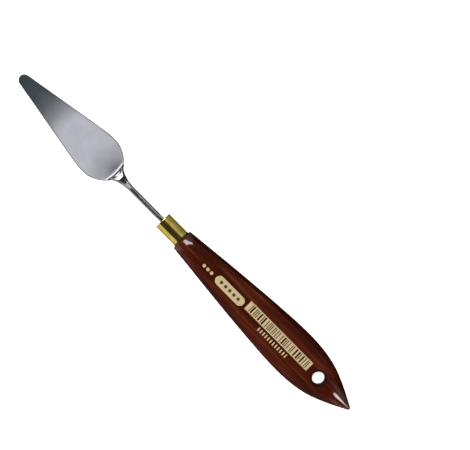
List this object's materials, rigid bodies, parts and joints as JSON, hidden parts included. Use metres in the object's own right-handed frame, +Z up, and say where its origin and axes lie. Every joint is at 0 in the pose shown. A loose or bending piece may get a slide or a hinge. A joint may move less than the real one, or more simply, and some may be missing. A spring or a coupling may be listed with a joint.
{
  "type": "palette knife",
  "caption": "Cranked painting knife: thin springy trowel blade on a stepped neck, brass ferrule, and a flattened oval lacquered wooden handle with a hang hole near its pointed butt.",
  "frame": {"origin": "on the plane of the blade's flat underside, below the middle of the knife's whole length", "axes": "+X along the knife from the blade's tip to the butt of the handle, +Z up from the blade's underside towards the handle's axis, +Y across the blade"},
  "size_m": [0.2, 0.0211, 0.0147],
  "materials": {
    "spring_steel": "polished spring steel with very fine grinding marks",
    "brass": "drawn brass, bright, faint turning lines",
    "lacquered_wood": "dark reddish-brown hardwood under clear gloss lacquer",
    "adhesive": "cured amber adhesive",
    "printed_mark": "flat ivory ink"
  },
  "bodies": {
    "handle": {"handle": "lacquered_wood", "ferrule": "brass", "tang_adhesive": "adhesive", "shank_and_tang": "spring_steel"},
    "blade": {"blade": "spring_steel"}
  },
  "joints": [
    {"name": "blade_flex", "type": "hinge", "parent": "handle", "child": "blade", "pos_m": [-0.045, 0, 0.00038], "axis": [0, 1, 0], "range_deg": [0, 20], "stiffness_Nm_per_rad": 2.5}
  ]
}
